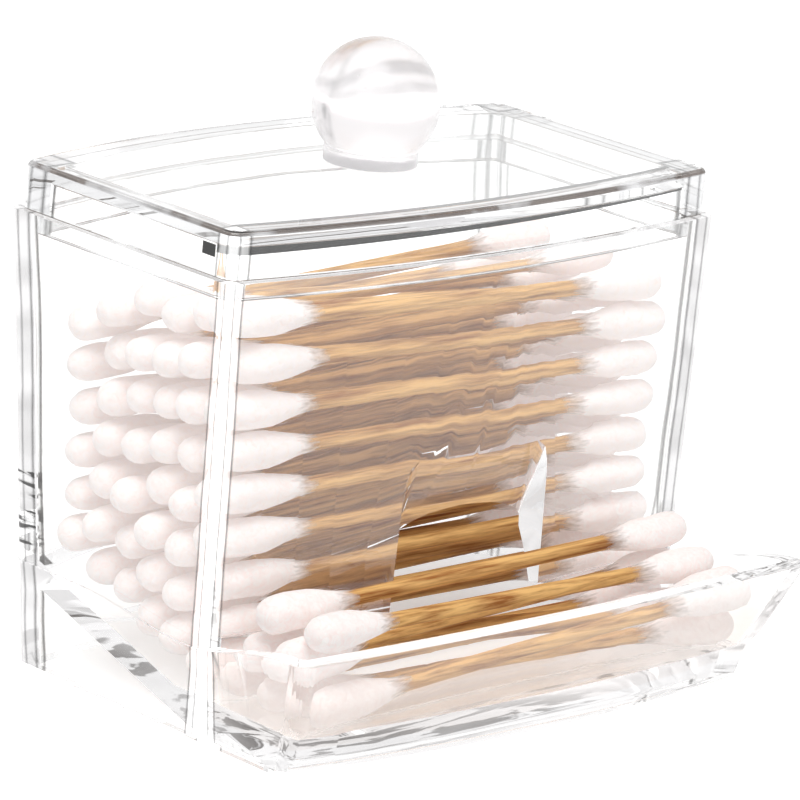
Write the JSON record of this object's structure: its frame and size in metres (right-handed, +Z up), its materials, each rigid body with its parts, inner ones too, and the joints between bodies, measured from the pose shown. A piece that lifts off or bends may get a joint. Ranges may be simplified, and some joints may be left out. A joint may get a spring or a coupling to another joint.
{
  "type": "cotton swab dispenser",
  "caption": "clear tabletop box that feeds cotton swabs down a sloping floor to an open front tray with a thumb cut-out, under a lift-off lid with a ball knob",
  "frame": {"origin": "bottom centre of the whole part's bounding box, on the face that its foot strips stand on", "axes": "X along the swabs, the width of the body; -Y to the front, where the tray is; +Z up"},
  "size_m": [0.0924, 0.0701, 0.0834],
  "materials": {
    "clear_body": "clear moulded polystyrene, polished",
    "clear_lid": "clear moulded polystyrene, polished",
    "knob_ball": "clear solid ball with a faint haze",
    "swab": "white cotton wound on both ends of a birch stick"
  },
  "bodies": {
    "container": {"container": "clear_body", "swab_01": "swab", "swab_02": "swab", "swab_03": "swab", "swab_04": "swab", "swab_05": "swab", "swab_06": "swab", "swab_07": "swab", "swab_08": "swab", "swab_09": "swab", "swab_10": "swab", "swab_11": "swab", "swab_12": "swab", "swab_13": "swab", "swab_14": "swab", "swab_15": "swab", "swab_16": "swab", "swab_17": "swab", "swab_18": "swab", "swab_19": "swab", "swab_20": "swab", "swab_21": "swab", "swab_22": "swab", "swab_23": "swab", "swab_24": "swab", "swab_25": "swab", "swab_26": "swab", "swab_27": "swab", "swab_28": "swab", "swab_29": "swab", "swab_30": "swab", "swab_31": "swab", "swab_32": "swab", "swab_33": "swab", "swab_34": "swab", "swab_35": "swab", "swab_36": "swab", "swab_37": "swab", "swab_38": "swab", "swab_39": "swab", "swab_40": "swab", "swab_41": "swab", "swab_42": "swab", "swab_43": "swab", "swab_44": "swab", "swab_45": "swab", "swab_46": "swab", "swab_47": "swab", "swab_48": "swab", "swab_49": "swab", "swab_50": "swab", "swab_51": "swab", "swab_52": "swab"},
    "lid": {"lid": "clear_lid", "knob": "knob_ball"}
  },
  "joints": [
    {"name": "lid_lift", "type": "slide", "parent": "container", "child": "lid", "axis": [0, 0, 1], "range_m": [0, 0.03]}
  ]
}
